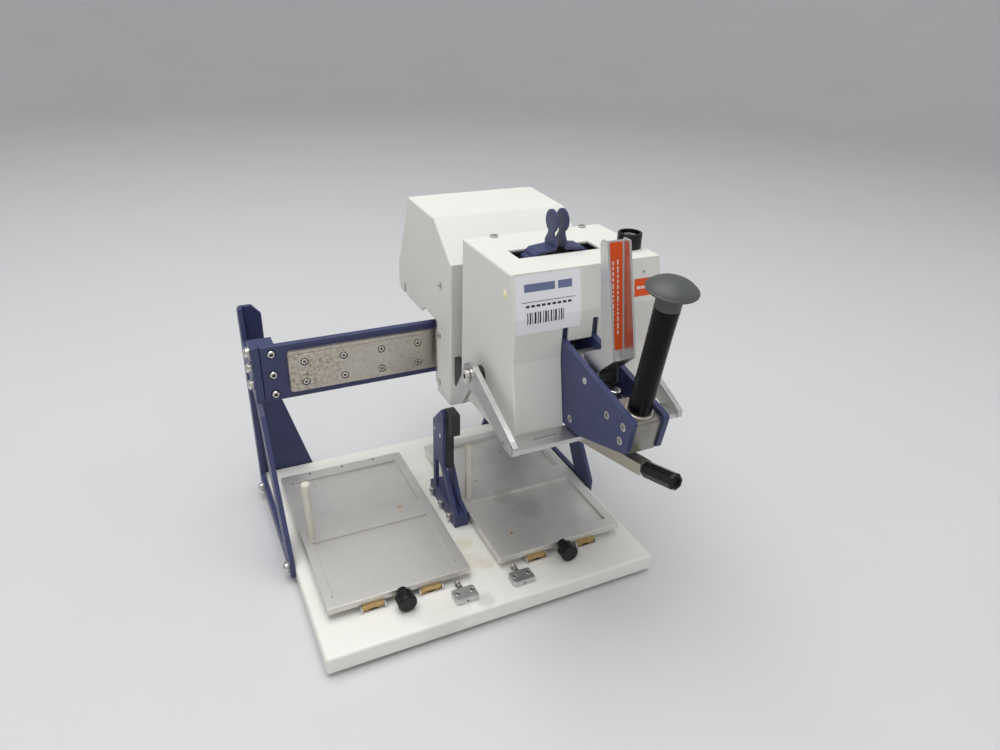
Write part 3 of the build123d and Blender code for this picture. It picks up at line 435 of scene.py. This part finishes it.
def film(name, outline, place, body, look, thickness=0.12 * MM, creases=()):
    """A thin stuck-on film: outline in its own plane, folded onto a surface by place.

    place(u, v, h) gives the frame point at height h above the surface; creases are
    v values where the film folds.
    """
    bm = bmesh.new()
    verts = [bm.verts.new((u, v, 0)) for u, v in outline]
    bm.faces.new(verts)
    for v in creases:
        geometry = bm.verts[:] + bm.edges[:] + bm.faces[:]
        bmesh.ops.bisect_plane(bm, geom=geometry, plane_co=(0, v, 0), plane_no=(0, 1, 0))
    grown = bmesh.ops.extrude_face_region(bm, geom=bm.faces[:])
    for vert in grown["geom"]:
        if isinstance(vert, bmesh.types.BMVert):
            vert.co.z = thickness
    for vert in bm.verts:
        vert.co = place(vert.co.x, vert.co.y, vert.co.z)
    return piece(name, bm, body, look)


COVER_FRONT = [(-117.8, 351.4), (-125.5, 312.0), (-125.5, 270.0)]


def on_cover_front(left, top_drop, lift):
    """Maps a film onto the head cover's front, v running down from its top edge."""
    top, knee, foot = [at(0, y, z) for y, z in COVER_FRONT]
    upper = (knee - top)

    def place(u, v, h):
        down = v + top_drop
        if down <= upper.length:
            run, start, used = upper.normalized(), top, down
        else:
            run, start, used = (foot - knee).normalized(), knee, down - upper.length
        out = Vector((0, run.z, -run.y))
        return Vector((left + u, 0, 0)) + start + run * used + out * (h + lift)

    return place, upper.length


def blank_label():
    """A plain stock label with bars in place of any print."""
    left, drop = 15.2 * MM, 1.6 * MM
    place, knee = on_cover_front(left, drop, ON_SURFACE)
    fold = [knee - drop]
    width, height = 65 * MM, 52.5 * MM
    film("label_sheet", rounded_outline(width, height, 2.5 * MM), place, "head", "white_film",
         creases=fold)
    lifted = on_cover_front(left, drop, ON_FILM)[0]

    def bar(name, u, v, w, h, look):
        film(name, [(u, v), (u + w, v), (u + w, v + h), (u, v + h)], lifted, "head", look,
             thickness=INK, creases=[c for c in fold if v < c < v + h])

    bar("label_rule", 6 * MM, 23.5 * MM, 53 * MM, 0.7 * MM, "grey_ink")
    for k, (start, size) in enumerate(((9, 30), (42, 14))):
        bar(f"label_heading_{k}", start * MM, 8 * MM, size * MM, 7 * MM, "blue_ink")
    for k in range(9):
        bar(f"label_line_{k}", (10 + 5.2 * k) * MM, 26.5 * MM, 3.6 * MM, 2 * MM, "dark_ink")
    x = 11.0
    for k in range(15):
        thick = (1.0, 1.9, 0.7, 1.4)[(k * 7) % 4]
        bar(f"label_bar_{k}", x * MM, 33 * MM, thick * MM, 10.5 * MM, "dark_ink")
        x += thick + (1.3, 0.9, 1.8)[k % 3]


def range_sticker():
    """Small orange sticker at the right of the head cover."""
    left, drop = 136.8 * MM, 18.8 * MM
    place = on_cover_front(left, drop, ON_SURFACE)[0]
    film("range_sticker", rounded_outline(17 * MM, 16.3 * MM, 0.6 * MM), place, "head",
         "orange_film")
    lifted = on_cover_front(left, drop, ON_FILM)[0]
    for k, (u, w) in enumerate(((2.6, 4), (7.4, 2.6), (10.8, 3))):
        film(f"range_mark_{k}", [(u * MM, 7 * MM), ((u + w) * MM, 7 * MM),
                                 ((u + w) * MM, 9.6 * MM), (u * MM, 9.6 * MM)],
             lifted, "head", "pale_ink", thickness=INK)


def lever_strip():
    """Orange strip down the lock lever's web, with plain pale lines."""
    top, foot = at(0, -161.5, 387), at(0, -181, 287)
    run = (foot - top).normalized()
    out = Vector((0, run.z, -run.y))

    def placed(left, start, lift):
        def place(u, v, h):
            return Vector((left + u, 0, 0)) + top + run * (start + v) + out * (h + lift)
        return place

    film("lever_strip", rounded_outline(17.3 * MM, 90.7 * MM, 0.4 * MM),
         placed(72.9 * MM, 1.0 * MM, 0.05 * MM), "lever", "orange_film")
    words = (3.2, 2.2, 5.0, 2.6, 4.2, 1.8, 3.6, 5.2, 2.4, 3.0)
    for row, (left, start, end) in enumerate(((80.4, 16.3, 75.4), (84.9, 15.3, 78.5))):
        down, k = start, 0
        while down < end:
            size = min(words[(k * 3 + row * 4) % len(words)], end - down)
            film(f"lever_line_{row}_{k}", [(0, 0), (1.3 * MM, 0), (1.3 * MM, size * MM),
                                           (0, size * MM)],
                 placed(left * MM, down * MM, 0.19 * MM), "lever", "pale_ink",
                 thickness=INK)
            down += size + 1.4
            k += 1


def lever_hub():
    """Dark faceted sleeve between the lever's walls, round its pin."""
    middle = at(81.85, -168, 266)
    end, shoulder = 9.1 * MM, 7.1 * MM
    profile = [(3.2 * MM, -end), (5.6 * MM, -end), (6.9 * MM, -shoulder),
               (6.9 * MM, shoulder), (5.6 * MM, end), (3.2 * MM, end), (3.2 * MM, -end)]
    piece("lever_hub", lathe(profile, middle, Vector((1, 0, 0)), steps=6), "lever",
          "black_plastic")


def post_details():
    """A small white mark and a screw on the centre post's left face."""
    corner = at(-2, 10.7, 121.8)

    def place(u, v, h):
        return corner + Vector((-h - 0.05 * MM, u, -v))

    film("post_mark", rounded_outline(2.5 * MM, 5 * MM, 0.5 * MM), place, "base", "white_film")
    profile = [(0, 0.5 * MM), (0.7 * MM, 0.5 * MM), (0.8 * MM, 0.9 * MM), (1.5 * MM, 0.7 * MM),
               (1.7 * MM, 0), (1.7 * MM, -0.6 * MM), (0, -0.6 * MM)]
    piece("post_screw", lathe(profile, at(-2, 27.6, 120.2), Vector((-1, 0, 0)), steps=24),
          "base", "screw_steel", smooth=True)


def cover_plug():
    """Small yellowish plug in the head cover's left wall."""
    spot = at(13.1, -107, 330)
    profile = [(0, -0.5 * MM), (2.6 * MM, -0.5 * MM), (3.4 * MM, 0), (3.3 * MM, 0.5 * MM),
               (2.6 * MM, 0.95 * MM), (1.4 * MM, 1.2 * MM), (0, 1.3 * MM)]
    bm = lathe(profile, spot, Vector((-1, 0, 0)), steps=28)
    for vert in bm.verts:
        vert.co.z = spot.z + (vert.co.z - spot.z) * 1.35
    piece("cover_plug", bm, "head", "yellow_plug", smooth=True)


def crossbar_screws():
    """Sunk screws that hold the crossbar's ends in the two arms."""
    for side, x, word in ((-1, -1.5, "left"), (1, 180.4, "right")):
        for k, (y, z) in enumerate(((-161.5, 208.2), (-145, 204.5))):
            profile = [(0, -2.2 * MM), (0.75 * MM, -2.2 * MM), (0.75 * MM, -1.1 * MM),
                       (1.55 * MM, -0.9 * MM), (1.6 * MM, -1.5 * MM), (1.6 * MM, -2.3 * MM)]
            bm = lathe(profile, at(x, y, z), Vector((side, 0, 0)), steps=20)
            piece(f"crossbar_screw_{word}_{k}", bm, "load_frame", "screw_steel",
                  smooth=True)


# ---------------------------------------------------------------- stage, light, camera
def studio():
    """Pale floor that curves up into a round wall, a broad overhead light, two softer ones."""
    floor_r, bend, wall_top = 3.2, 1.5, 5.0
    profile = [(0, 0), (floor_r, 0)]
    for k in range(1, 13):
        a = math.radians(90 * k / 12)
        profile.append((floor_r + bend * math.sin(a), bend * (1 - math.cos(a))))
    profile.append((floor_r + bend, wall_top))
    mesh = bpy.data.meshes.new("studio_floor")
    bm = lathe(profile, Vector((0, 0, 0)), Vector((0, 0, 1)), steps=96)
    bm.to_mesh(mesh)
    bm.free()
    mesh.shade_smooth()
    floor = bpy.data.objects.new("studio_floor", mesh)
    bpy.context.scene.collection.objects.link(floor)
    look = Look("studio_floor")
    tone = look.mix(look.noise(3.0), (0.70, 0.70, 0.70), (0.66, 0.66, 0.665))
    look.shader.inputs["Emission Color"].default_value = (1.0, 1.0, 1.0, 1.0)
    look.put(look.shader.inputs["Emission Strength"],
             look.span(look.xyz()["Z"], 0.0, wall_top, 0.0, 0.25))
    mesh.materials.append(look.finish(tone, 0.6))
    for name, spot, aim, size, power in (
            ("overhead", (-0.3, 0.2, 2.4), (0, 0, 0.2), 2.2, 46),
            ("window", (-1.0, -2.1, 1.3), (0, 0, 0.2), 1.5, 6),
            ("bounce", (1.8, -0.8, 1.5), (0, 0, 0.2), 1.6, 4)):
        light = bpy.data.objects.new(name, bpy.data.lights.new(name, "AREA"))
        light.data.energy = power
        light.data.size = size
        light.location = spot
        aim_way = Vector(aim) - Vector(spot)
        light.rotation_euler = aim_way.to_track_quat("-Z", "Y").to_euler()
        bpy.context.scene.collection.objects.link(light)
    world = bpy.data.worlds.new("studio")
    world.use_nodes = True
    background = world.node_tree.nodes["Background"]
    background.inputs["Color"].default_value = (0.92, 0.95, 1.0, 1.0)
    background.inputs["Strength"].default_value = 0.34
    bpy.context.scene.world = world


def camera():
    """A phone-like wide lens, held above the bench's left front corner."""
    pitch, yaw, roll = 0.4874, 0.4578, -0.0367       # radians
    spot = at(-253.65, -644.30, 569.39)
    forward = Vector((math.sin(yaw) * math.cos(pitch), math.cos(yaw) * math.cos(pitch),
                      -math.sin(pitch)))
    right = Vector((math.cos(yaw), -math.sin(yaw), 0))
    down = forward.cross(right)
    right, down = (right * math.cos(roll) + down * math.sin(roll),
                   down * math.cos(roll) - right * math.sin(roll))
    turn = Matrix((right, -down, -forward)).transposed()
    made = bpy.data.objects.new("camera", bpy.data.cameras.new("camera"))
    made.data.sensor_width = 36.0
    made.data.lens = 26.79
    made.matrix_world = Matrix.Translation(spot) @ turn.to_4x4()
    bpy.context.scene.collection.objects.link(made)
    bpy.context.scene.camera = made


dress_frame()
blank_label()
range_sticker()
lever_strip()
lever_hub()
post_details()
cover_plug()
crossbar_screws()
studio()
camera()
bpy.context.scene.view_settings.view_transform = "Standard"
